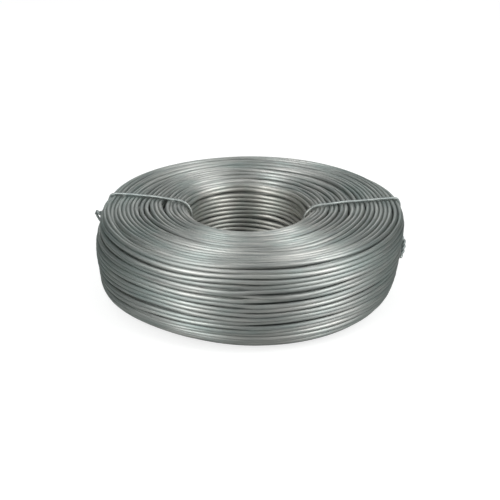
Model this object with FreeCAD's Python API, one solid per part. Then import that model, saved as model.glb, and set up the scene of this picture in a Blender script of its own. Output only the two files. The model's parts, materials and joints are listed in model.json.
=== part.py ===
import FreeCAD, Part
import math
import os

# A coil of binding wire: one steel wire wound in layers around an open bore, held by two
# tie wires. Each tie runs through the bore and round the winding, and its two ends are
# twisted together on the outer wall. The origin is on the floor, on the axis of the bore.
# Sizes are in millimetres and angles in degrees.

# The binding wire, and the winding that it makes
wire_diameter = 1.6
turn_gap = 0.25
coil_diameter = 120.0
bore_diameter = 43.0
coil_height = 35.0

# The section of the winding: its corners, and the swell of its outer wall
inner_top_corner_radius = 5.0
inner_bottom_corner_radius = 3.0
top_corner_radius = 4.0
bottom_corner_radius = 9.0
belly_radius = 85.0
belly_height = 21.0

# How far the mandrel and the floor flatten the crests of the turns that touch them
crest_flat = 0.06

# The tie wires, and the clearance round one in the channel that it pulls into the winding
tie_diameter = 1.0
tie_clearance = 0.15

# The twist that closes a tie: the length of one turn of the pair, the length over which the
# twist sets in, the clearance between the two strands and the bends that lead to it
twist_pitch = 3.8
twist_lead = 1.4
twist_clearance = 0.1
wall_bend_radius = 1.0
droop_bend_radius = 1.8

# Each tie: the angles about the axis where it crosses the bore wall and the outer wall, and
# its twist, which stands out from the wall at a height, bends down and runs on to its end
ties = {
    "tie_wire_left": {
        "bore_angle": 170.6,
        "wall_angle": 166.7,
        "twist_height": 25.0,
        "twist_reach": 0.3,
        "twist_droop": 75.0,
        "twist_tail": 2.4,
    },
    "tie_wire_right": {
        "bore_angle": 0.0,
        "wall_angle": 8.7,
        "twist_height": 17.4,
        "twist_reach": 0.2,
        "twist_droop": 108.0,
        "twist_tail": 6.4,
    },
}

wire_radius = wire_diameter / 2
tie_radius = tie_diameter / 2
coil_radius = coil_diameter / 2
bore_radius = bore_diameter / 2
strand_offset = tie_radius + twist_clearance / 2

# How finely a twisted end is drawn: its points to a turn, and the step that finds its heading
points_per_turn = 6
heading_step = 0.001


def point(across, height, aside=0.0):
    """A point of a section drawing, with across along +X and height along +Z."""
    return FreeCAD.Vector(across, aside, height)


def heading(angle, length=1.0):
    """A vector in the section drawing, at an angle above +X."""
    turn = math.radians(angle)
    return point(length * math.cos(turn), length * math.sin(turn))


def level_heading(angle, length):
    """A level vector at an angle about the axis from +X."""
    turn = math.radians(angle)
    return FreeCAD.Vector(length * math.cos(turn), length * math.sin(turn), 0)


def arc(centre, radius, start, end):
    """An arc of the section drawing, from one angle to another."""
    return Part.Arc(
        centre + heading(start, radius),
        centre + heading((start + end) / 2, radius),
        centre + heading(end, radius),
    ).toShape()


def line(start, end):
    return Part.LineSegment(start, end).toShape()


def first(edge):
    return edge.valueAt(edge.FirstParameter)


def last(edge):
    return edge.valueAt(edge.LastParameter)


def belly_centre(outer):
    return point(outer - belly_radius, belly_height)


def belly_angle(height, radius):
    """The angle at which the belly, drawn with this radius, is at a height."""
    return math.degrees(math.asin((height - belly_height) / radius))


def section_outline(inner, outer, inset, foot=0.0):
    """The outline of the winding's section, drawn inset below its surface.

    inner and outer say where the bore wall and the widest part of the outer wall are, and
    foot is the height of the bottom. The edges run anticlockwise from the bottom corner:
    bottom corner, belly, top corner, top, inner top corner, bore wall, inner bottom corner
    and bottom.
    """
    centre = belly_centre(outer)

    def corner_on_belly(radius, height):
        rise = belly_angle(height, belly_radius - radius)
        return centre + heading(rise, belly_radius - radius), rise

    bottom_centre, low = corner_on_belly(bottom_corner_radius, foot + bottom_corner_radius)
    top_centre, high = corner_on_belly(top_corner_radius, coil_height - top_corner_radius)
    inner_top_centre = point(inner + inner_top_corner_radius, coil_height - inner_top_corner_radius)
    inner_bottom_centre = point(inner + inner_bottom_corner_radius, foot + inner_bottom_corner_radius)

    bottom_corner = arc(bottom_centre, bottom_corner_radius - inset, -90, low)
    belly = arc(centre, belly_radius - inset, low, high)
    top_corner = arc(top_centre, top_corner_radius - inset, high, 90)
    inner_top = arc(inner_top_centre, inner_top_corner_radius - inset, 90, 180)
    inner_bottom = arc(inner_bottom_centre, inner_bottom_corner_radius - inset, 180, 270)
    top = line(last(top_corner), first(inner_top))
    bore_wall = line(last(inner_top), first(inner_bottom))
    bottom = line(last(inner_bottom), first(bottom_corner))
    return [bottom_corner, belly, top_corner, top, inner_top, bore_wall, inner_bottom, bottom]


def winding_profile():
    """The profile of the winding: a half-round ridge for each turn that shows."""
    outline = section_outline(bore_radius - crest_flat, coil_radius, wire_radius, -crest_flat)
    path = Part.Wire(outline)
    turns = round(path.Length / (wire_diameter + turn_gap))
    centres = path.discretize(Number=turns + 1)[:-1]
    ridges = []
    for number, centre in enumerate(centres):
        along = centres[(number + 1) % turns] - centres[number - 1]
        along = along.normalize() * wire_radius
        outward = point(along.z, -along.x)
        ridges.append(Part.Arc(centre - along, centre + outward, centre + along).toShape())
    edges = []
    for number, ridge in enumerate(ridges):
        following = ridges[(number + 1) % turns]
        edges += [ridge, line(last(ridge), first(following))]
    return Part.Wire(edges)


def tie_plane(tie):
    """Where the upright plane of a tie is, and its width from bore wall to outer wall."""
    start = level_heading(tie["bore_angle"], bore_radius)
    across = level_heading(tie["wall_angle"], coil_radius) - start
    turned = FreeCAD.Rotation(FreeCAD.Vector(1, 0, 0), across)
    return FreeCAD.Placement(start, turned), across.Length


def tie_channel(tie):
    """The channel that a tie pulls into the winding, round its whole section."""
    placement, span = tie_plane(tie)
    width = tie_diameter + 2 * tie_clearance
    outside = Part.Face(Part.Wire(section_outline(0, span, -wire_radius)))
    floor = Part.Face(Part.Wire(section_outline(0, span, tie_diameter + tie_clearance)))
    channel = outside.cut(floor).extrude(FreeCAD.Vector(0, width, 0))
    channel.translate(FreeCAD.Vector(0, -width / 2, 0))
    channel.Placement = placement.multiply(channel.Placement)
    return channel


def wire_coil():
    """The winding, turned as one solid with its bore, with a channel for each tie."""
    winding = Part.Face(winding_profile()).revolve(point(0, 0), FreeCAD.Vector(0, 0, 1), 360)
    mandrel = Part.makeCylinder(bore_radius, 2 * coil_height, point(0, -coil_height / 2))
    floor = Part.makeCylinder(coil_radius, wire_radius, point(0, -wire_radius))
    channels = [tie_channel(tie) for tie in ties.values()]
    return winding.cut([mandrel, floor, *channels]).Solids[0]


def arc_round(start, corner, end):
    """The arc from start to end that sets out towards the corner, which is as far from both."""
    weight = (end - start).Length / (2 * (corner - start).Length)
    middle = (start + corner * (2 * weight) + end) * (1 / (2 + 2 * weight))
    return Part.Arc(start, middle, end).toShape()


def arc_pair(start, start_heading, end, end_heading):
    """Two tangent arcs that leave start and reach end along two unit vectors."""
    chord = end - start
    along = chord.dot(start_heading + end_heading)
    spread = 2 * (1 - start_heading.dot(end_heading))
    reach = chord.dot(chord) / (along + math.sqrt(along**2 + spread * chord.dot(chord)))
    start_corner = start + start_heading * reach
    end_corner = end - end_heading * reach
    middle = (start_corner + end_corner) * 0.5
    return [arc_round(start, start_corner, middle), arc_round(middle, end_corner, end)]


def twist_axis(tie, start, distance):
    """A point of the line that a tie's ends twist about, and how far it has bent down."""
    reach = tie["twist_reach"]
    if distance < reach:
        return start + point(distance, 0), 0.0
    turned = min(math.degrees((distance - reach) / droop_bend_radius), tie["twist_droop"])
    onward = distance - reach - droop_bend_radius * math.radians(turned)
    bend_centre = start + point(reach, -droop_bend_radius)
    return bend_centre + heading(90 - turned, droop_bend_radius) + heading(-turned, onward), turned


def strand_point(tie, start, side, distance):
    """A point of one end of a tie, on side 1 above the twist's axis at its start or -1 below."""
    centre, turned = twist_axis(tie, start, distance)
    lead = min(distance, twist_lead)
    twist = 2 * math.pi * (distance - lead + lead**2 / (2 * twist_lead)) / twist_pitch
    around = heading(90 - turned, math.cos(twist)) + point(0, 0, math.sin(twist))
    return centre + around * (side * strand_offset)


def twisted_strand(tie, start, side):
    """The centre line of one end of a tie, as a chain of tangent arcs round the twist's axis."""
    bend_length = droop_bend_radius * math.radians(tie["twist_droop"])
    length = tie["twist_reach"] + bend_length + tie["twist_tail"]
    steps = round(length / twist_pitch * points_per_turn)
    points = []
    headings = []
    for step in range(steps + 1):
        distance = length * step / steps
        before = strand_point(tie, start, side, distance - heading_step)
        after = strand_point(tie, start, side, distance + heading_step)
        points.append(strand_point(tie, start, side, distance))
        headings.append((after - before).normalize())
    arcs = []
    for step in range(steps):
        arcs += arc_pair(points[step], headings[step], points[step + 1], headings[step + 1])
    return arcs


def tie_path(tie, span):
    """The centre line of a tie: its two twisted ends, and the loop round the section."""
    bottom_corner, belly, *inner_edges = section_outline(0, span, tie_radius)
    centre = belly_centre(span)
    radius = belly_radius - tie_radius
    bend = wall_bend_radius
    height = tie["twist_height"]
    low = belly_angle(height - strand_offset - bend, radius + bend)
    high = belly_angle(height + strand_offset + bend, radius + bend)
    bend_low = arc(centre + heading(low, radius + bend), bend, 180 + low, 90)
    bend_high = arc(centre + heading(high, radius + bend), bend, 270, 180 + high)
    start = point(span + bend, height)
    lower = twisted_strand(tie, start, -1)
    upper = twisted_strand(tie, start, 1)
    return Part.Wire([
        *reversed(upper),
        line(first(upper[0]), first(bend_high)),
        bend_high,
        arc(centre, radius, high, belly_angle(last(belly).z, radius)),
        *inner_edges,
        bottom_corner,
        arc(centre, radius, belly_angle(first(belly).z, radius), low),
        bend_low,
        line(last(bend_low), first(lower[0])),
        *lower,
    ])


def tie_wire(tie):
    """A tie: one round wire swept along its path, with its end faces square to it."""
    placement, span = tie_plane(tie)
    path = tie_path(tie, span)
    tip_edge = path.OrderedEdges[0]
    tip = path.OrderedVertexes[0].Point
    tangent = tip_edge.tangentAt(tip_edge.LastParameter)
    wire_section = Part.Wire(Part.makeCircle(tie_radius, tip, tangent))
    swept = path.makePipeShell([wire_section], True, False)
    swept.Placement = placement
    return swept


def main():
    os.makedirs("parts", exist_ok=True)
    nodes = {"wire_coil": wire_coil()}
    for name, tie in ties.items():
        nodes[name] = tie_wire(tie)
    for name, solid in nodes.items():
        solid.exportStep("parts/" + name + ".step")
        print(name, "valid" if solid.isValid() else "not valid", round(solid.Volume, 1), "mm3")


main()
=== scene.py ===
# %% [markdown]
# A coil of binding wire, the soft steel wire that ties rebar and fencing. The real thing is
# one wire, about a hundred metres long, wound in layers round a mandrel and held by two tie
# wires. A plain ring with a bump pattern would be quick to make, but its gaps, crossings and
# glints would be painted ones. So this script winds the wire itself, turn by turn, inside
# the size that the construction model gives.

# %% Load the frame
import json
import math

import bpy
import numpy as np
from mathutils import Matrix, Vector
from mathutils.geometry import convex_hull_2d


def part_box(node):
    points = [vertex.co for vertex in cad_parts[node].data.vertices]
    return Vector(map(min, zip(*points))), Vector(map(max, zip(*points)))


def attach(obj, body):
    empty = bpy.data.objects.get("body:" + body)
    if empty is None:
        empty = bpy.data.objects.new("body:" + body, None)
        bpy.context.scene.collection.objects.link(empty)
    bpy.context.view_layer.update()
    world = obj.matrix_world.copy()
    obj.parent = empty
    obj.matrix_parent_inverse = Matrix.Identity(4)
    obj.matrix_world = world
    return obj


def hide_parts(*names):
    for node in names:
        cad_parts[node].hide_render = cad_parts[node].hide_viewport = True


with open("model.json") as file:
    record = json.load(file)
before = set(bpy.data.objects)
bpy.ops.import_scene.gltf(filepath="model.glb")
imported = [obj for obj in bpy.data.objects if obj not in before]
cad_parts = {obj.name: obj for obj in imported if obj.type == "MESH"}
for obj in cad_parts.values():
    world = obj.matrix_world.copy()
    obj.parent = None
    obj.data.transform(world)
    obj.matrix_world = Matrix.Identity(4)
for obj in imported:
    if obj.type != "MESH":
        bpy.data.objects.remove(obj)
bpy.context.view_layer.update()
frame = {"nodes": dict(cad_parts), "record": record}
print("nodes", sorted(frame["nodes"]))

# %% [markdown]
# Sizes come from the frame where it has them: the outer diameter and the height from the
# coil's box, and the bore from its mount. The wire is 16 gauge, and the ties are thinner.
# Everything is in metres, so a millimetre is a named value.

# %% Sizes
mm = 0.001
wire_radius = 0.8 * mm
tie_radius = 0.5 * mm
coil_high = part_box("wire_coil")[1]
coil_radius = coil_high.x
coil_height = coil_high.z
mounts = {mount["name"]: mount for mount in frame["record"]["mounts"]}
bore_radius = mounts["bore"]["dims"]["r_mm"] * mm
print("coil", round(coil_radius / mm, 2), round(coil_height / mm, 2), round(bore_radius / mm, 2))

# %% [markdown]
# The camera stands where the photograph was taken from: in front, 24 degrees above the
# level of the coil. The long lens keeps the ellipses of the bore and the rim flat. A small
# shift puts the coil where it is in the picture, and a slight roll tilts it as it is there.

# %% Camera
view_elevation = math.radians(24.0)
view_distance = 0.490
view_target = Vector((0, 0, 17.6 * mm))
view_roll = math.radians(0.38)
camera_data = bpy.data.cameras.new("camera")
camera_data.sensor_width = 36.0
camera_data.lens = 89.74
camera_data.shift_x = 0.0016
camera_data.shift_y = -0.0106
camera = bpy.data.objects.new("camera", camera_data)
bpy.context.scene.collection.objects.link(camera)
toward_camera = Vector((0, -math.cos(view_elevation), math.sin(view_elevation)))
camera.location = view_target + toward_camera * view_distance
aim = (-toward_camera).to_track_quat("-Z", "Y").to_matrix().to_4x4()
camera.matrix_world = Matrix.Translation(camera.location) @ aim @ Matrix.Rotation(view_roll, 4, "Z")
bpy.context.scene.camera = camera
bpy.context.scene.view_settings.view_transform = "Standard"
field = round(math.degrees(camera_data.angle), 1)
print("camera", round(view_distance / mm), "mm away, field", field, "degrees")

# %% [markdown]
# A wire's look is mostly what it reflects, so the light matters more than the colour. A turn
# glints where it runs square to the line midway between lamp and camera, so each lamp draws
# one bright ray across the coil. The photograph shows four. The lamps at the left and right
# side draw the two on the wall, and the two overhead draw the two on the top. A weak lamp
# straight above and one behind lift the top between its rays. All of them are large, so that
# the glint on each turn is a broad one.

# %% Lights
def add_lamp(name, place, width, height, power):
    """A soft lamp that faces the middle of the coil."""
    lamp = bpy.data.lights.new(name, "AREA")
    lamp.shape = "RECTANGLE"
    lamp.size = width
    lamp.size_y = height
    lamp.energy = power
    holder = bpy.data.objects.new(name, lamp)
    bpy.context.scene.collection.objects.link(holder)
    holder.location = place
    holder.rotation_euler = (view_target - Vector(place)).to_track_quat("-Z", "Y").to_euler()
    return holder

# Each lamp: its name, its place, its width and height, and its power
lamps = [
    add_lamp("overhead_left", (-0.42, -0.12, 0.66), 0.44, 0.60, 1.5),
    add_lamp("overhead_right", (0.48, -0.10, 0.66), 0.44, 0.60, 2.05),
    add_lamp("overhead_middle", (0.00, -0.05, 0.78), 0.36, 0.50, 0.5),
    add_lamp("left_side", (-0.50, -0.57, 0.38), 0.26, 0.72, 4.35),
    add_lamp("right_side", (0.66, -0.42, 0.40), 0.36, 0.76, 4.4),
    add_lamp("back", (0.00, 0.80, 0.40), 0.60, 0.60, 1.1),
]
print("lamps", len(lamps), "power", round(sum(lamp.data.energy for lamp in lamps), 2), "W")

# %% [markdown]
# Colours are written as the hex values that a picture shows. The shader wants them linear,
# so one function turns them.

# %% Colours
def linear(hex_colour):
    """An sRGB hex colour as the linear RGBA that a socket takes."""
    channels = [int(hex_colour[start:start + 2], 16) / 255 for start in (1, 3, 5)]
    turned = [c / 12.92 if c <= 0.04045 else ((c + 0.055) / 1.055) ** 2.4 for c in channels]
    return (*turned, 1.0)

print("half grey is linear", round(linear("#808080")[0], 3))

# %% [markdown]
# A material could be put together by hand in the node editor. In a script, one function that
# adds a node with its settings and its links keeps each material short enough to read as a
# recipe.

# %% Nodes
def add_node(tree, kind, settings=None, inputs=None):
    """Adds a node, sets its properties, and sets or links each of its inputs."""
    node = tree.nodes.new(kind)
    for name, value in (settings or {}).items():
        setattr(node, name, value)
    for name, value in (inputs or {}).items():
        if isinstance(value, bpy.types.NodeSocket):
            tree.links.new(value, node.inputs[name])
        else:
            node.inputs[name].default_value = value
    return node

def new_material(name):
    """An empty node material and its output node."""
    material = bpy.data.materials.new(name)
    material.use_nodes = True
    material.node_tree.nodes.clear()
    print("material", name)
    return material, add_node(material.node_tree, "ShaderNodeOutputMaterial")

# %% [markdown]
# The floor is a sheet of paper, and the plain background of a product picture. Its paper is a
# mid grey, because that is what the turns low on the wall reflect. To the camera it also
# glows, so that it is white right to its edge and still shows the soft shadow of the coil.

# %% Floor
def paper_floor():
    """A level sheet under the coil, which is stage and no piece of the object."""
    material, output = new_material("white_paper_floor")
    tree = material.node_tree
    path = add_node(tree, "ShaderNodeLightPath")
    paper = add_node(tree, "ShaderNodeBsdfDiffuse", inputs={"Color": linear("#a4a5a4")})
    strength = add_node(tree, "ShaderNodeMath", {"operation": "MULTIPLY"},
                        {0: path.outputs["Is Camera Ray"], 1: 0.74})
    glow = add_node(tree, "ShaderNodeEmission",
                    inputs={"Color": linear("#ffffff"), "Strength": strength.outputs[0]})
    sheet = add_node(tree, "ShaderNodeAddShader", inputs={0: paper.outputs[0], 1: glow.outputs[0]})
    tree.links.new(sheet.outputs[0], output.inputs["Surface"])
    bpy.ops.mesh.primitive_plane_add(size=6.0, location=(0, 0, 0))
    floor = bpy.context.object
    floor.name = "floor"
    floor.data.materials.append(material)
    return floor

floor = paper_floor()
print("floor", round(floor.dimensions.x, 1), "m square")

# %% [markdown]
# The world is the room round the coil. To the camera it is plain white. To everything that it
# lights it is a dim, slightly cool grey, which fills the gaps between the turns a little and
# leaves the modelling to the lamps.

# %% World
def studio_world():
    """A room that is white to the camera and a dim grey to the coil."""
    world = bpy.data.worlds.new("studio")
    world.use_nodes = True
    bpy.context.scene.world = world
    tree = world.node_tree
    tree.nodes.clear()
    path = add_node(tree, "ShaderNodeLightPath")
    seen = add_node(tree, "ShaderNodeMath", {"operation": "MAXIMUM"},
                    {0: path.outputs["Is Camera Ray"], 1: path.outputs["Is Transmission Ray"]})
    fill = add_node(tree, "ShaderNodeBackground",
                    inputs={"Color": linear("#d3dcdb"), "Strength": 0.2})
    white = add_node(tree, "ShaderNodeBackground",
                     inputs={"Color": linear("#ffffff"), "Strength": 1.0})
    mixed = add_node(tree, "ShaderNodeMixShader",
                     inputs={0: seen.outputs[0], 1: fill.outputs[0], 2: white.outputs[0]})
    output = add_node(tree, "ShaderNodeOutputWorld")
    tree.links.new(mixed.outputs[0], output.inputs["Surface"])
    return world

print("world", studio_world().name)

# %% [markdown]
# The wire is bare low-carbon steel, drawn through a die and annealed. A pattern painted over
# it like a blanket would run across the turns, which no drawn wire does. So the noise lives
# in the coil's own directions: it changes slowly with the angle about the bore and quickly
# from one turn to the next. The angle enters as its cosine and sine, so that the pattern
# closes on itself with no seam.

# %% Streaks along the turns
def coil_place(tree):
    """Nodes for a point's own place, its distance from the axis and its direction from it."""
    place = add_node(tree, "ShaderNodeTexCoord")
    split = add_node(tree, "ShaderNodeSeparateXYZ", inputs={0: place.outputs["Object"]})
    flat = add_node(tree, "ShaderNodeCombineXYZ",
                    inputs={"X": split.outputs["X"], "Y": split.outputs["Y"]})
    radius = add_node(tree, "ShaderNodeVectorMath", {"operation": "LENGTH"},
                      {0: flat.outputs[0]})
    around = add_node(tree, "ShaderNodeVectorMath", {"operation": "NORMALIZE"},
                      {0: flat.outputs[0]})
    return split, radius.outputs["Value"], around.outputs[0]

def streaks(tree, place, length_on_rim, width, detail, offset):
    """Noise in streaks along the turns, of this length at the rim and this width."""
    split, radius, around = place
    along = coil_radius / length_on_rim
    out = add_node(tree, "ShaderNodeMath", {"operation": "MULTIPLY_ADD"},
                   {0: radius, 1: 1 / width, 2: offset})
    up = add_node(tree, "ShaderNodeMath", {"operation": "MULTIPLY"},
                  {0: split.outputs["Z"], 1: 1 / width})
    lifted = add_node(tree, "ShaderNodeCombineXYZ", inputs={"Z": out.outputs[0]})
    where = add_node(tree, "ShaderNodeVectorMath", {"operation": "MULTIPLY_ADD"},
                     {0: around, 1: (along, along, 0.0), 2: lifted.outputs[0]})
    return add_node(tree, "ShaderNodeTexNoise", {"noise_dimensions": "4D"},
                    {"Vector": where.outputs[0], "W": up.outputs[0], "Scale": 1.0,
                     "Detail": detail, "Roughness": 0.6}).outputs["Fac"]

# Drawn lines are some hundredths of a millimetre wide, and are drawn as coarse as they need
# to be to show. The other two are as on the wire: stretches of one tone, and blued patches
streak_sizes = {
    "stretch": (28 * mm, 2.0 * mm),
    "die_line": (9 * mm, 0.22 * mm),
    "patch": (22 * mm, 9 * mm),
}
for name, (length, width) in streak_sizes.items():
    print("streak", name, round(length / mm), "by", round(width / mm, 2), "mm")

# %% [markdown]
# Stretches of the wire are lighter or darker, and the die has scored fine lines along it. One
# noise with much detail would mix the two, but real die lines are the same in a dark stretch
# as in a light one. So there are two noises, and their sum is the tone of the steel.

# %% The tone of the steel
# How much the die lines add to the tone, and what is taken off again to keep its middle
die_line_share = 0.45
tone_shift = -0.2

def steel_tone(tree, place):
    """The lighter and darker stretches, with the die lines over them, and the die lines alone."""
    stretches = streaks(tree, place, *streak_sizes["stretch"], 2.0, 0.0)
    die_lines = streaks(tree, place, *streak_sizes["die_line"], 2.0, 7.0)
    both = add_node(tree, "ShaderNodeMath", {"operation": "MULTIPLY_ADD"},
                    {0: die_lines, 1: die_line_share, 2: tone_shift})
    tone = add_node(tree, "ShaderNodeMath", {"operation": "ADD"},
                    {0: stretches, 1: both.outputs[0]})
    return tone.outputs[0], die_lines

print("the die lines move the tone by", tone_shift, "to", round(die_line_share + tone_shift, 2))

# %% [markdown]
# The tone picks a grey between a dark and a light one. Annealing has left the wire a little
# blue in patches. Towards the left and right sides of the coil a cool sheen is painted in as
# well, standing in for the cool light that the sides reflect. Inside the bore, where the light
# has bounced between the turns, it looks warmer. Three materials would meet in hard borders, so
# the blue, the painted sheen and the warm tone are mixed in by shares that fade out.

# %% The colour of the steel
# The most blue in a patch, the most painted cool sheen at the sides of the coil, and the
# warmth in the bore and how deep into the winding it reaches
patch_blue = 0.4
painted_side_sheen = 0.24
bore_warmth = 0.3
warm_reach = 5 * mm

def steel_colour(tree, place, tone, dark, light, blue_for_patches_and_painted_sheen, bore_side):
    """The colour for a tone, with its patches of blue, the cool sheen painted on its sides, and its
    side in the bore.
    """
    split, radius, _ = place
    ramp = add_node(tree, "ShaderNodeMapRange", inputs={0: tone, 1: 0.3, 2: 0.75})
    plain = add_node(tree, "ShaderNodeMix", {"data_type": "RGBA"},
                     {0: ramp.outputs[0], 6: linear(dark), 7: linear(light)})
    patches = streaks(tree, place, *streak_sizes["patch"], 3.0, 11.0)
    patchy = add_node(tree, "ShaderNodeMapRange",
                      inputs={0: patches, 1: 0.45, 2: 0.7, 3: 0.0, 4: patch_blue})
    # Painted cool sheen: the coil is painted bluer towards its left and right sides, standing in
    # for the cool light that they reflect
    aside = add_node(tree, "ShaderNodeMath", {"operation": "ABSOLUTE"}, {0: split.outputs["X"]})
    painted_sheen_at_sides = add_node(tree, "ShaderNodeMapRange",
                      inputs={0: aside.outputs[0], 1: 0.4 * coil_radius, 2: 0.9 * coil_radius,
                              3: 0.0, 4: painted_side_sheen})
    share = add_node(tree, "ShaderNodeMath", {"operation": "ADD"},
                     {0: patchy.outputs[0], 1: painted_sheen_at_sides.outputs[0]})
    cool = add_node(tree, "ShaderNodeMix", {"data_type": "RGBA"},
                    {0: share.outputs[0], 6: plain.outputs[2], 7: linear(blue_for_patches_and_painted_sheen)})
    inner = add_node(tree, "ShaderNodeMapRange",
                     inputs={0: radius, 1: bore_radius, 2: bore_radius + warm_reach,
                             3: bore_warmth, 4: 0.0})
    warm = add_node(tree, "ShaderNodeMix", {"data_type": "RGBA"},
                    {0: inner.outputs[0], 6: cool.outputs[2], 7: linear(bore_side)})
    return warm.outputs[2]

print("blue at most", round(patch_blue + painted_side_sheen, 2), "and warmth in the bore", bore_warmth)

# %% [markdown]
# A scored metal spreads what it reflects widely across its lines and hardly at all along
# them. The anisotropic setting does that, with a tangent that follows the turns. The ties
# are cut from a brighter wire, and they don't run along the turns, so they get the same
# recipe with no grain.

# %% Drawn steel
# A dark stretch is also duller than a light one
dark_roughness = 0.60
light_roughness = 0.50

def drawn_steel(name, dark, light, blue_for_patches_and_painted_sheen, bore_side, grain):
    """A drawn steel of these colours, with this much more spread across its lines than along."""
    material, output = new_material(name)
    tree = material.node_tree
    place = coil_place(tree)
    tone, die_lines = steel_tone(tree, place)
    colour = steel_colour(tree, place, tone, dark, light, blue_for_patches_and_painted_sheen, bore_side)
    rough = add_node(tree, "ShaderNodeMapRange",
                     inputs={0: tone, 1: 0.3, 2: 0.8, 3: dark_roughness, 4: light_roughness})
    bump = add_node(tree, "ShaderNodeBump",
                    inputs={"Strength": 0.25, "Distance": 0.03 * mm, "Height": die_lines})
    around = place[2]
    run = add_node(tree, "ShaderNodeVectorMath", {"operation": "CROSS_PRODUCT"},
                   {0: (0.0, 0.0, 1.0), 1: around})
    steel = add_node(tree, "ShaderNodeBsdfPrincipled",
                     inputs={"Base Color": colour, "Metallic": 1.0, "Roughness": rough.outputs[0],
                             "Anisotropic": grain, "Anisotropic Rotation": 0.25,
                             "Tangent": run.outputs[0], "Normal": bump.outputs[0]})
    tree.links.new(steel.outputs[0], output.inputs["Surface"])
    return material

wire_steel = drawn_steel("annealed_drawn_steel_wire", dark="#8f9391", light="#cacac6",
                         blue_for_patches_and_painted_sheen="#99aca8", bore_side="#c5c0b3", grain=0.6)
tie_steel = drawn_steel("bright_drawn_tie_wire", dark="#8d9290", light="#b9bebb",
                        blue_for_patches_and_painted_sheen="#98a1a1", bore_side="#b0aea6", grain=0.0)

# %% [markdown]
# Every turn is drawn by the same stations, which stand at even angles round the coil. So a
# turn is one row of an array, and what all turns do at one side is one column.

# %% Stations round the coil
stations = 144
front_angle = -math.pi / 2
angles = front_angle + 2 * math.pi * np.arange(stations) / stations

def near_angle(middle, spread):
    """A smooth share that is 1 at an angle about the bore and falls to 0 beside it."""
    turn = (angles - math.radians(middle) + math.pi) % (2 * math.pi) - math.pi
    return np.exp(-((turn / math.radians(spread)) ** 2))

def station_at(angle):
    """The station of a turn that is nearest to an angle about the bore, in degrees."""
    return round((math.radians(angle) - front_angle) / (2 * math.pi) * stations) % stations

rim_step = 2 * math.pi * coil_radius / stations
print("stations", stations, "every", round(rim_step / mm, 2), "mm of the rim")

# %% [markdown]
# The winding has a section: the area that its turns fill, between the bore and the outer
# wall. Its outer wall swells, its top is slightly crowned, and its corners are round, because
# turns at a corner slide in. The real coil has also been handled, and a section that is the
# same all round would look turned on a lathe. So the wall swells high up on the right and
# low down on the left, the bore lies a little to the left, the bottom corner is rounder at
# the front left, and the top edge stands proud where a tie crosses it. The wall also has a
# dent at the tie on the left, a hollow low down on that side, and a bulge at the tie on the
# right. Each is a bell curve taken off the wall or added to it, because a bell curve runs
# out softly to all sides and a turn can follow it without a kink.

# %% The section of the winding
belly_radius = 78 * mm
belly_height = (22 + 6 * np.cos(angles)) * mm
crown = 1.0 * mm
proud_edge = near_angle(8, 20)
floor_level = wire_radius
bore_level = bore_radius + wire_radius - 0.8 * mm * np.cos(angles)
# Each dent of the wall: its angle about the bore and how far it reaches to each side, its
# height and how far it reaches up and down, and its depth, which is below 0 for a bulge.
# Angles are in degrees and lengths in millimetres
dents = [(175, 11, 29, 2.8, 2.1), (192, 14, 10, 6, 1.0), (8, 12, 31, 4, -0.7)]
corners = [
    ("wall", "floor", (7.5 + 5.0 * near_angle(-126, 34)) * mm - wire_radius),
    ("wall", "top", (4.0 - 1.8 * proud_edge - 1.5 * near_angle(165, 8)) * mm - wire_radius),
    ("bore", "floor", 3.0 * mm - wire_radius),
    ("bore", "top", (5.0 - 1.0 * near_angle(90, 60)) * mm - wire_radius),
]

def wall_level(height):
    """How far out the centre of a turn on the outer wall is, at a height."""
    swell = np.sqrt(belly_radius**2 - (height - belly_height) ** 2)
    level = coil_radius - wire_radius - belly_radius + swell
    for angle, spread, middle, reach, depth in dents:
        fade = np.exp(-(((height / mm - middle) / reach) ** 2))
        level -= depth * mm * near_angle(angle, spread) * fade
    return level

def top_level(across):
    """How high the centre of a turn on the top is, at a distance from the axis."""
    share = (2 * across - bore_radius - coil_radius) / (coil_radius - bore_radius)
    return coil_height - wire_radius - crown * share**2 * np.where(share > 0, 1 - proud_edge, 1)

print("section", round((coil_radius - bore_radius) / mm, 1), "by", round(coil_height / mm, 1), "mm")

# %% [markdown]
# A turn's place in the section is given by two shares, one out from the bore and one up from
# the floor. Near a corner the square of shares is pressed into a quarter of a disc, so the
# layers bend round the corner together and none is cut off by it.

# %% Places in the section
def near_corners(across, height, inset, change):
    """Changes the shares of what is in a corner, 0 at its centre and 1 at each of its sides."""
    for side, end, radius in corners:
        side_level = wall_level(height) - inset if side == "wall" else bore_level + inset
        end_level = floor_level + inset if end == "floor" else top_level(across) - inset
        outward = 1 if side == "wall" else -1
        upward = -1 if end == "floor" else 1
        a = 1 - outward * (side_level - across) / radius
        b = 1 - upward * (end_level - height) / radius
        inside = (a > 0) & (b > 0)
        new_a, new_b = change(np.where(inside, a, 0), np.where(inside, b, 0))
        across = np.where(inside, side_level - outward * radius * (1 - new_a), across)
        height = np.where(inside, end_level - upward * radius * (1 - new_b), height)
    return across, height

def place_in_section(share_out, share_up):
    """The place of a turn in the section, from its two shares."""
    height = floor_level + share_up * (coil_height - wire_radius - floor_level)
    across = bore_level + share_out * (wall_level(height) - bore_level)
    height = floor_level + share_up * (top_level(across) - floor_level)
    def onto_disc(a, b):
        return a * np.sqrt(1 - b**2 / 2), b * np.sqrt(1 - a**2 / 2)
    return near_corners(across, height, 0.0, onto_disc)

def keep_inside(across, height, inset):
    """Brings turns that are outside the section, or closer to its edge than inset, back in."""
    height = np.clip(height, floor_level + inset, top_level(across) - inset)
    across = np.clip(across, bore_level + inset, wall_level(height) - inset)
    def onto_arc(a, b):
        over = np.maximum(np.hypot(a, b), 1.0)
        return a / over, b / over
    return near_corners(across, height, inset, onto_arc)

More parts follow.
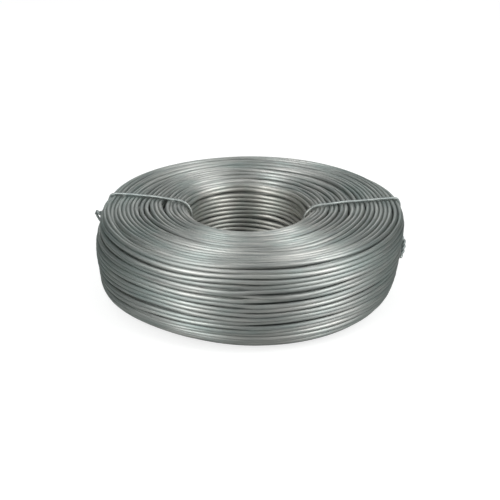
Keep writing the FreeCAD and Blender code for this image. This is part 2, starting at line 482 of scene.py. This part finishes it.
corner_across, corner_height = place_in_section(np.ones((1, stations)), np.ones((1, stations)))
print("the outer top corner is", round((coil_radius - corner_across.mean()) / mm, 2), "mm in")

# %% [markdown]
# The wire goes up one layer and down the next, and moves over by one place in each turn. A
# plain helix would spread that step evenly round. On a real coil most of it is made on one
# side, here the far one, and the near side looks like a stack of level rings.

# %% The route of the wire
layer_count = 20
turns_in_layer = [18] * (layer_count - 2) + [19, 19]
crossing_share = 0.62

def wind():
    """The shares of every turn at every station, as arrays of turns by stations."""
    places = []
    for layer, count in enumerate(turns_in_layer):
        ups = np.linspace(0, 1, count)
        for up in ups if layer % 2 == 0 else ups[::-1]:
            places.append((layer / (layer_count - 1), up))
    places = np.array(places + [places[-1]])
    share = np.arange(stations) / stations
    step = np.clip((share - 0.5) / crossing_share + 0.5, 0, 1)
    step = step**2 * (3 - 2 * step)
    here = places[:-1, None, :]
    after = places[1:, None, :]
    return here + (after - here) * step[None, :, None]

shares = wind()
across, height = place_in_section(shares[..., 0], shares[..., 1])
turn_count = len(across)
length = (across.mean(axis=1) * 2 * math.pi).sum()
print("turns", turn_count, "wire", round(length, 1), "m")

# %% [markdown]
# No coil is that neat. Random jitter at each point would look like a crumpled wire, because
# steel only strays slowly. So bundles of turns wander together by a few tenths of a
# millimetre, which a sum of slow waves through the section gives, and each turn wanders by
# itself too, which is smoothed noise along the wire.

# %% Wander
random = np.random.default_rng(16)

def waves(amplitude, count, shortest, longest, most_rounds):
    """A smooth field over the section and round the coil, of about this amplitude."""
    total = np.zeros_like(across)
    for _ in range(count):
        wavelength = random.uniform(shortest, longest)
        direction = random.uniform(0, 2 * math.pi)
        rounds = random.integers(-most_rounds, most_rounds + 1)
        phase = random.uniform(0, 2 * math.pi)
        run = across * math.cos(direction) + height * math.sin(direction)
        total += np.cos(2 * math.pi * run / wavelength + rounds * angles[None, :] + phase)
    return total * amplitude * math.sqrt(2 / count)

def along_wire(amplitude, spread):
    """Noise along the wire, smoothed over this many stations."""
    reach = int(3 * spread)
    kernel = np.exp(-0.5 * (np.arange(-reach, reach + 1) / spread) ** 2)
    noise = np.convolve(random.normal(size=across.size), kernel, mode="same")
    return (noise / noise.std() * amplitude).reshape(across.shape)

def wander():
    """Where turns stray to: whole bundles, then small clumps, then each turn by itself."""
    bundles = waves(0.30 * mm, count=12, shortest=9 * mm, longest=24 * mm, most_rounds=4)
    clumps = waves(0.24 * mm, count=16, shortest=3.6 * mm, longest=8 * mm, most_rounds=6)
    return bundles + clumps + along_wire(0.26 * mm, spread=10)

across_now = across + wander()
height_now = height + wander()
strayed = float(np.hypot(across_now - across, height_now - height).mean())
print("turns stray by", round(strayed / mm, 2), "mm")

# %% [markdown]
# In some places two turns part, and a dark gap shows between them. The longest one runs along
# the front edge of the top. Chance would open such gaps too, but which ones there are is what
# makes this coil this one. So they are listed by their places.

# %% Partings
# Each parting: its angle about the bore, how far out and how high it is, its width and how
# many degrees it runs to each side. Angles are in degrees and lengths in millimetres
partings = [
    (-160, 42.3, 34.2, 0.6, 16), (-143, 39.6, 34.2, 1.1, 22), (174, 31.0, 34.0, 1.8, 8),
    (-142, 33.7, 34.0, 0.6, 20), (27, 35.3, 34.1, 0.8, 12), (-20, 34.7, 34.1, 0.8, 24),
    (-11, 40.3, 34.2, 1.1, 12), (1, 44.7, 34.2, 0.6, 6), (-14, 56.7, 33.4, 0.7, 14),
    (-42, 52.3, 33.8, 0.6, 14), (-72, 56.7, 33.3, 1.4, 30), (-136, 58.1, 30.5, 1.0, 26),
    (-88, 58.0, 31.8, 0.6, 20), (-94, 59.0, 27.0, 0.8, 12), (-73, 59.2, 24.5, 1.1, 28),
    (-85, 59.2, 21.6, 0.7, 26), (-138, 59.2, 20.0, 0.6, 13), (-91, 59.1, 17.8, 0.6, 18),
    (-36, 58.6, 17.5, 1.0, 22), (-132, 59.1, 14.6, 1.3, 26), (-77, 58.5, 12.6, 0.7, 22),
    (-100, 58.3, 9.7, 0.5, 11), (-124, 58.7, 9.4, 0.9, 12), (-55, 57.0, 6.5, 0.6, 11),
    (95, 22.3, 31.6, 0.9, 60), (88, 22.3, 26.4, 0.3, 26), (90, 22.3, 19.0, 0.3, 28),
]
print("partings", len(partings))

# %% [markdown]
# A parting has to find its two turns. The turn nearest to its place is one, and the nearest
# that touches this one is the other. A gap between buried turns can't be seen, so a turn
# below the face counts as farther off. The turns beneath the two are noted as well, because
# they have to be held down, or they would fill the gap with light.

# %% The turns beside a parting
contact = 2 * wire_radius * 1.01

# What counts against a turn as one of the two: to lie below the face, and not to touch the
# other one
deep_weight = 4
gap_weight = 3
touching = 1.2 * contact
beneath_reach = 2.5 * contact

def depth_below(across, height):
    """How far below the nearest face of the winding each turn lies, at each station."""
    sides = [wall_level(height) - across, across - bore_level, height - floor_level]
    return np.minimum.reduce([*sides, top_level(across) - height])

def parted_pairs(across, height):
    """For each parting: the two turns beside it, those beneath, and its width at each station."""
    pairs = []
    depth = depth_below(across, height)
    for angle, out, up, width, spread in partings:
        station = station_at(angle)
        away = np.hypot(across[:, station] - out * mm, height[:, station] - up * mm)
        away += deep_weight * np.maximum(depth[:, station], 0)
        one = np.argmin(away)
        apart = np.hypot(across - across[one], height - height[one])
        away += gap_weight * np.maximum(apart[:, station] - touching, 0)
        away[one] = coil_radius
        other = np.argmin(away)
        # 1 while the two run side by side, and 0 once they are two turns apart
        together = np.clip(4 - 2 * apart[other] / contact, 0, 1)
        beneath = np.flatnonzero(apart[:, station] < beneath_reach)
        beneath = beneath[(beneath != one) & (beneath != other)]
        pairs.append((one, other, beneath, width * mm * near_angle(angle, spread) * together))
    return pairs

pairs = parted_pairs(across_now, height_now)
widest = float(max(width.max() for one, other, beneath, width in pairs))
print("pairs of turns", len(pairs), "widest parting", round(widest / mm, 1), "mm")

# %% [markdown]
# The ties pull the turns in where they cross. A tie lies in an upright plane from a point on
# the bore to a point on the outer wall, and the nearer a turn is to that plane, the deeper
# it has to lie. This is the same channel that the construction model has cut into it.

# %% How deep the ties press
ties = {
    "tie_wire_left": {"bore_angle": 170.6, "wall_angle": 166.7},
    "tie_wire_right": {"bore_angle": 0.0, "wall_angle": 8.7},
}
tie_spread = 5.5 * mm

def tie_plane(tie):
    """Where a tie's plane leaves the bore, its level direction from there, and its width."""
    bore, wall = math.radians(tie["bore_angle"]), math.radians(tie["wall_angle"])
    start = np.array((math.cos(bore), math.sin(bore))) * bore_radius
    end = np.array((math.cos(wall), math.sin(wall))) * coil_radius
    span = float(np.linalg.norm(end - start))
    return start, (end - start) / span, span

def from_tie(tie, across):
    """How far every turn is from a tie's plane at each station, and how far out along it."""
    start, way, _ = tie_plane(tie)
    x = across * np.cos(angles)[None, :] - start[0]
    y = across * np.sin(angles)[None, :] - start[1]
    return x * way[1] - y * way[0], x * way[0] + y * way[1]

def tie_press(across):
    """How far the ties press the turns in, at each turn and station."""
    depth = np.zeros_like(across)
    for tie in ties.values():
        beside, along = from_tie(tie, across)
        aside = np.maximum(np.abs(beside) - tie_radius, 0)
        press = 2 * tie_radius * np.exp(-((aside / tie_spread) ** 2))
        depth = np.maximum(depth, np.where(along > -wire_radius, press, 0))
    return depth

print("ties press up to", round(float(tie_press(across_now).max()) / mm, 2), "mm")

# %% [markdown]
# Steel turns can't pass through each other. A physics simulation could settle them, but slowly
# and with springs to tune, while the sections of the turns are only discs in a plane. So
# each station pushes apart the pairs of discs that are closer than one diameter. First it
# has to be known which turns can meet at all.

# %% Which turns are neighbours
neighbour_reach = 2.0 * contact
station_stride = 4

def neighbours(across, height):
    """For each turn, the turns that come within reach of it, padded with the turn itself."""
    near = np.zeros((turn_count, turn_count), bool)
    for station in range(0, stations, station_stride):
        a = across[:, station]
        h = height[:, station]
        near |= np.hypot(a[:, None] - a[None, :], h[:, None] - h[None, :]) < neighbour_reach
    np.fill_diagonal(near, False)
    table = np.tile(np.arange(turn_count)[:, None], (1, near.sum(axis=1).max()))
    for turn in range(turn_count):
        found = np.flatnonzero(near[turn])
        table[turn, :len(found)] = found
    return table

print("neighbours of a turn, at most", neighbours(across_now, height_now).shape[1])

# %% [markdown]
# The turns settle in rounds of four moves. In the first, the turns that overlap push each
# other apart, along the line between the centres of their discs. They could take up the
# whole overlap at once, but then a push against one neighbour becomes an overlap with the
# next, and the heap never comes to rest. So each push is a share.

# %% Push apart
# Two turns share a push, and each takes a little less than half, so that the heap calms down
push_share = 0.45

def push_apart(across, height, table):
    """The pushes on turns that are closer to a neighbour than they can be."""
    push_out = np.zeros_like(across)
    push_up = np.zeros_like(height)
    for other in table.T:
        out = across - across[other]
        up = height - height[other]
        distance = np.hypot(out, up)
        overlap = np.where(distance > 0, np.maximum(contact - distance, 0), 0)
        share = push_share * overlap / np.maximum(distance, wire_radius / 100)
        push_out += out * share
        push_up += up * share
    return push_out, push_up

first_push = np.hypot(*push_apart(across_now, height_now, neighbours(across_now, height_now)))
print("largest push before the first round", round(float(first_push.max()) / mm, 2), "mm")

# %% [markdown]
# In the second move the partings push theirs open. The two turns beside one are held as far
# apart as it is wide at each station, and the turns beneath it are pressed down.

# %% Hold the partings open
# How wide a parting is before it pushes, and before it presses the turns beneath it fully
least_width = 0.02 * mm
full_width = 0.3 * mm

# How far beneath a closed parting a turn is kept, and how much it follows as that opens
beneath_rest = 0.85 * contact
beneath_follow = 0.6

def hold_apart(across, height, push_out, push_up):
    """Adds the pushes that keep each parting as wide as it is, and the turns beneath it down."""
    for one, other, beneath, width in pairs:
        out = across[one] - across[other]
        up = height[one] - height[other]
        distance = np.hypot(out, up)
        lacking = np.maximum(contact + width - distance, 0)
        share = push_share * np.where(width > least_width, lacking, 0) / distance
        for turn, sign in ((one, 1), (other, -1)):
            push_out[turn] += sign * out * share
            push_up[turn] += sign * up * share
        out = across[beneath] - (across[one] + across[other]) / 2
        up = height[beneath] - (height[one] + height[other]) / 2
        distance = np.hypot(out, up)
        lacking = np.maximum(beneath_rest + beneath_follow * width - distance, 0)
        share = push_share * lacking / distance
        share *= np.minimum(width / full_width, 1)
        push_out[beneath] += out * share
        push_up[beneath] += up * share

held = sum(len(beneath) for one, other, beneath, width in pairs)
print("turns held down beneath the partings", held)

# %% [markdown]
# In the third move each turn is smoothed along its length, because wire is stiff, and in the
# fourth whatever is outside the section goes back in. After some dozens of rounds the turns
# lie against each other as they do on the real coil.

# %% Settle the turns
settle_rounds = 60
rounds_per_table = 10
wire_stiffness = 0.5

def smooth_along(values, strength):
    """Moves each station of the wire towards the middle of its two neighbours."""
    line = values.ravel()
    middle = line.copy()
    middle[1:-1] = (line[:-2] + line[2:]) / 2
    return (line + (middle - line) * strength).reshape(values.shape)

def settle(across, height, rounds):
    """Settles the turns, and says how hard they still push at the end."""
    depth = tie_press(across)
    for number in range(rounds):
        if number % rounds_per_table == 0:
            table = neighbours(across, height)
        push_out, push_up = push_apart(across, height, table)
        hold_apart(across, height, push_out, push_up)
        across = smooth_along(across + push_out, wire_stiffness)
        height = smooth_along(height + push_up, wire_stiffness)
        across, height = keep_inside(across, height, depth)
    return across, height, float(np.hypot(push_out, push_up).max())

across_now, height_now, push_left = settle(across_now, height_now, settle_rounds)
print("settled, largest push left", round(push_left / mm, 3), "mm")

# %% [markdown]
# A wire could be built ring by ring from vertices. Blender has it ready: a curve with a round
# bevel and closed ends, turned into a mesh, with the curve's points already in place so that
# the mesh sits at the origin. Each piece hides the construction node that it stands in for.

# %% Wire from a line of points
def wire_piece(name, lines, radius, sides, material, node):
    """One mesh of round wire along some lines of points, in place of a construction node."""
    curve = bpy.data.curves.new(name, "CURVE")
    curve.dimensions = "3D"
    curve.bevel_depth = radius
    curve.bevel_resolution = (sides - 4) // 2
    curve.use_fill_caps = True
    curve.twist_mode = "Z_UP"
    for points in lines:
        spline = curve.splines.new("POLY")
        spline.points.add(len(points) - 1)
        spline.points.foreach_set("co", points.ravel())
    holder = bpy.data.objects.new(name + "_route", curve)
    bpy.context.scene.collection.objects.link(holder)
    bpy.context.view_layer.update()
    mesh = bpy.data.meshes.new_from_object(holder)
    bpy.data.objects.remove(holder)
    mesh.materials.clear()
    mesh.materials.append(material)
    piece = bpy.data.objects.new(name, mesh)
    bpy.context.scene.collection.objects.link(piece)
    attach(piece, "root")
    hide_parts(node)
    triangles = sum(len(face.vertices) - 2 for face in mesh.polygons)
    print(name, "lines", len(lines), "triangles", triangles)
    return piece

# %% [markdown]
# A curve's bevel has the same number of sides everywhere. So the turns that can be seen get a
# rounder one than the turns buried behind them, and the ones that can be seen are divided
# into a few pieces of a handy size. The wire's two ends are tucked under the ties: the inner
# one on the left, the outer one on the right.

# %% Runs of turns
visible_depth = 2.3 * 2 * wire_radius
piece_sides = {"visible": 10, "buried": 4}
most_triangles = 190000
tuck = 4
wire_start = station_at(ties["tie_wire_left"]["bore_angle"]) - tuck
wire_end = (turn_count - 1) * stations + station_at(ties["tie_wire_right"]["wall_angle"]) + tuck

def points_of(run):
    """The points of a run of turns, with the first point of the next turn to join them."""
    first = max(run[0] * stations, wire_start)
    last = min((run[-1] + 1) * stations, wire_end)
    index = np.arange(first, last + 1)
    angle = front_angle + 2 * math.pi * (index % stations) / stations
    out = across_now.ravel()[index]
    return np.column_stack((out * np.cos(angle), out * np.sin(angle),
                            height_now.ravel()[index], np.ones(len(index))))

def runs_of(flags):
    """Consecutive turns with the same flag, as lists of turn numbers for True and False."""
    groups = {True: [], False: []}
    start = 0
    for turn in range(1, turn_count + 1):
        if turn == turn_count or flags[turn] != flags[start]:
            groups[bool(flags[start])].append(list(range(start, turn)))
            start = turn
    return groups

shown = depth_below(across_now, height_now).min(axis=1) < visible_depth
groups = runs_of(shown)
visible_turns = sum(len(run) for run in groups[True])
print("turns that can be seen", visible_turns, "buried", turn_count - visible_turns)

# %% [markdown]
# The runs that can be seen are dealt out in order, so each piece is a stretch of the wire and
# stays under its share of triangles. The buried runs make one piece more, with every second
# point left out.

# %% Make the wire
part_count = math.ceil(visible_turns * stations * piece_sides["visible"] * 2 / most_triangles)
parts = [[] for _ in range(part_count)]
filled = 0
for run in groups[True]:
    parts[min(int(filled * part_count / visible_turns), part_count - 1)].append(run)
    filled += len(run)
for number, runs in enumerate(parts):
    wire_piece("wire_turns_" + str(number + 1), [points_of(run) for run in runs], wire_radius,
               piece_sides["visible"], wire_steel, "wire_coil")
wire_piece("wire_turns_buried", [points_of(run)[::2] for run in groups[False]], wire_radius,
           piece_sides["buried"], wire_steel, "wire_coil")

# %% [markdown]
# A tie is pulled tight, so it goes the shortest way round the turns. In its own plane that is
# the convex hull of the turns, moved out by the radius of the wire and that of the tie. It is
# found from the turns as they have settled, so the tie lies on every turn that it crosses.

# %% The loop of a tie
tie_step = 0.25 * mm
points_on_corner = 5

def evenly(points, rounds):
    """A line through some points at even steps, smoothed this many times."""
    lengths = np.concatenate(([0], np.cumsum(np.linalg.norm(np.diff(points, axis=0), axis=1))))
    where = np.linspace(0, lengths[-1], round(lengths[-1] / tie_step) + 1)
    line = np.column_stack([np.interp(where, lengths, points[:, axis]) for axis in range(3)])
    for _ in range(rounds):
        line[1:-1] = (line[:-2] + 2 * line[1:-1] + line[2:]) / 4
    return line

def tight_loop(tie):
    """The loop of a tie round the turns, in its plane."""
    beside, along = from_tie(tie, across_now)
    nearest = np.argmin(np.where(along > -wire_radius, np.abs(beside), coil_radius), axis=1)
    turns = np.arange(turn_count)
    places = np.column_stack((along[turns, nearest], height_now[turns, nearest]))
    hull = places[convex_hull_2d(places.tolist())]
    edges = np.roll(hull, -1, axis=0) - hull
    if (hull[:, 0] * edges[:, 1] - hull[:, 1] * edges[:, 0]).sum() < 0:
        hull = hull[::-1]
        edges = np.roll(hull, -1, axis=0) - hull
    lift = wire_radius + tie_radius
    facing = np.unwrap(np.arctan2(-edges[:, 0], edges[:, 1]))
    loop = []
    for corner in range(len(hull)):
        before = facing[corner - 1] - (2 * math.pi if corner == 0 else 0)
        for turn in np.linspace(before, facing[corner], points_on_corner):
            loop.append(hull[corner] + lift * np.array((math.cos(turn), math.sin(turn))))
    return np.array(loop)

for name, tie in ties.items():
    print(name, "goes round", len(tight_loop(tie)) // points_on_corner, "turns")

# %% [markdown]
# The two ends of a tie leave the wall together and twist about one line. That line is drawn
# by a few points, out from the wall, aside and up, in millimetres: at the left it stands out
# as a short stub, and at the right it bends back and lies down along the wall. An end may run
# along a share of the twist only and then go its own way: at the left, one hangs down.

# %% The twisted ends
twist_pitch = 3.8 * mm
twist_lead = 2 * tie_radius
strand_offset = tie_radius * 1.06

# Each tie: the points of the line that its ends twist about, and for each end the share of
# that line that it follows and the points of its own way from there
ties["tie_wire_left"].update(
    axis=[(-0.2, 0, 24.6), (0.9, 0, 24.7), (3.4, 0, 25.0)],
    ends=[(1.0, []),
          (0.9, [(3.2, -0.7, 23.3), (2.5, -0.9, 21.9), (1.5, -0.9, 20.6), (0.3, -0.9, 19.4)])])
ties["tie_wire_right"].update(
    axis=[(0.6, 0, 17.6), (1.7, -1.0, 17.4), (1.9, -2.4, 15.6), (0.9, -3.6, 12.6),
          (-0.1, -4.0, 10.4)],
    ends=[(1.0, []), (1.0, [])])

def in_plane(tie, points):
    """Points given out from the wall, aside and up as points of the tie's own plane."""
    span = tie_plane(tie)[2]
    return np.array([(span + out * mm, aside * mm, up * mm) for out, aside, up in points])

def twisted_end(line, side):
    """One end of a tie, on a side of the line that both ends twist about."""
    heading = np.gradient(line, axis=0)
    above = np.cross(heading, (0, 1, 0))
    above /= np.linalg.norm(above, axis=1)[:, None]
    aside = np.cross(heading, above)
    aside /= np.linalg.norm(aside, axis=1)[:, None]
    twisted = np.maximum(np.arange(len(line)) * tie_step - twist_lead, 0)
    turn = (2 * math.pi * twisted / twist_pitch)[:, None]
    return line + side * strand_offset * (above * np.cos(turn) + aside * np.sin(turn))

def tie_ends(tie):
    """The two ends of a tie, upper and lower, each from the wall to its tip."""
    axis = evenly(in_plane(tie, tie["axis"]), rounds=4)
    ends = []
    for side, (share, tail) in zip((1, -1), tie["ends"]):
        end = twisted_end(axis, side)[:round(len(axis) * share)]
        ends.append(np.vstack((end, in_plane(tie, tail))) if tail else end)
    return ends

for name, tie in ties.items():
    print(name, "points of its two ends", [len(end) for end in tie_ends(tie)])

# %% [markdown]
# The whole tie is one line: in along one end, round the loop, and out along the other. Where
# the ends leave the wall, a short stretch of the loop is left out, and the smoothing bends
# the line out of the wall there. A slight waver keeps the tie from looking like a ruled line.

# %% Make the ties
tie_sides = 12
waver = 0.12 * mm
waver_count = 7
gap_for_ends = 3 * tie_radius

def tie_route(tie):
    """The centre line of a whole tie, from the tip of one end round to the tip of the other."""
    start, way, span = tie_plane(tie)
    upper, lower = tie_ends(tie)
    loop = tight_loop(tie)
    end_height = tie["axis"][0][2] * mm
    turned = np.arctan2(loop[:, 1] - end_height, loop[:, 0] - span / 2) % (2 * math.pi)
    loop = loop[np.argsort(turned)]
    kept = np.abs(loop[:, 1] - end_height) > gap_for_ends
    loop = loop[kept | (loop[:, 0] < span / 2)]
    wavering = waver * np.sin(np.linspace(0, 2 * math.pi * waver_count, len(loop)))
    loop = np.column_stack((loop[:, 0], wavering, loop[:, 1]))
    line = evenly(np.vstack((upper[::-1], loop, lower)), rounds=3)
    return np.column_stack((start[0] + line[:, 0] * way[0] - line[:, 1] * way[1],
                            start[1] + line[:, 0] * way[1] + line[:, 1] * way[0],
                            line[:, 2], np.ones(len(line))))

for name, tie in ties.items():
    wire_piece(name.replace("wire", "loop"), [tie_route(tie)], tie_radius, tie_sides,
               tie_steel, name)
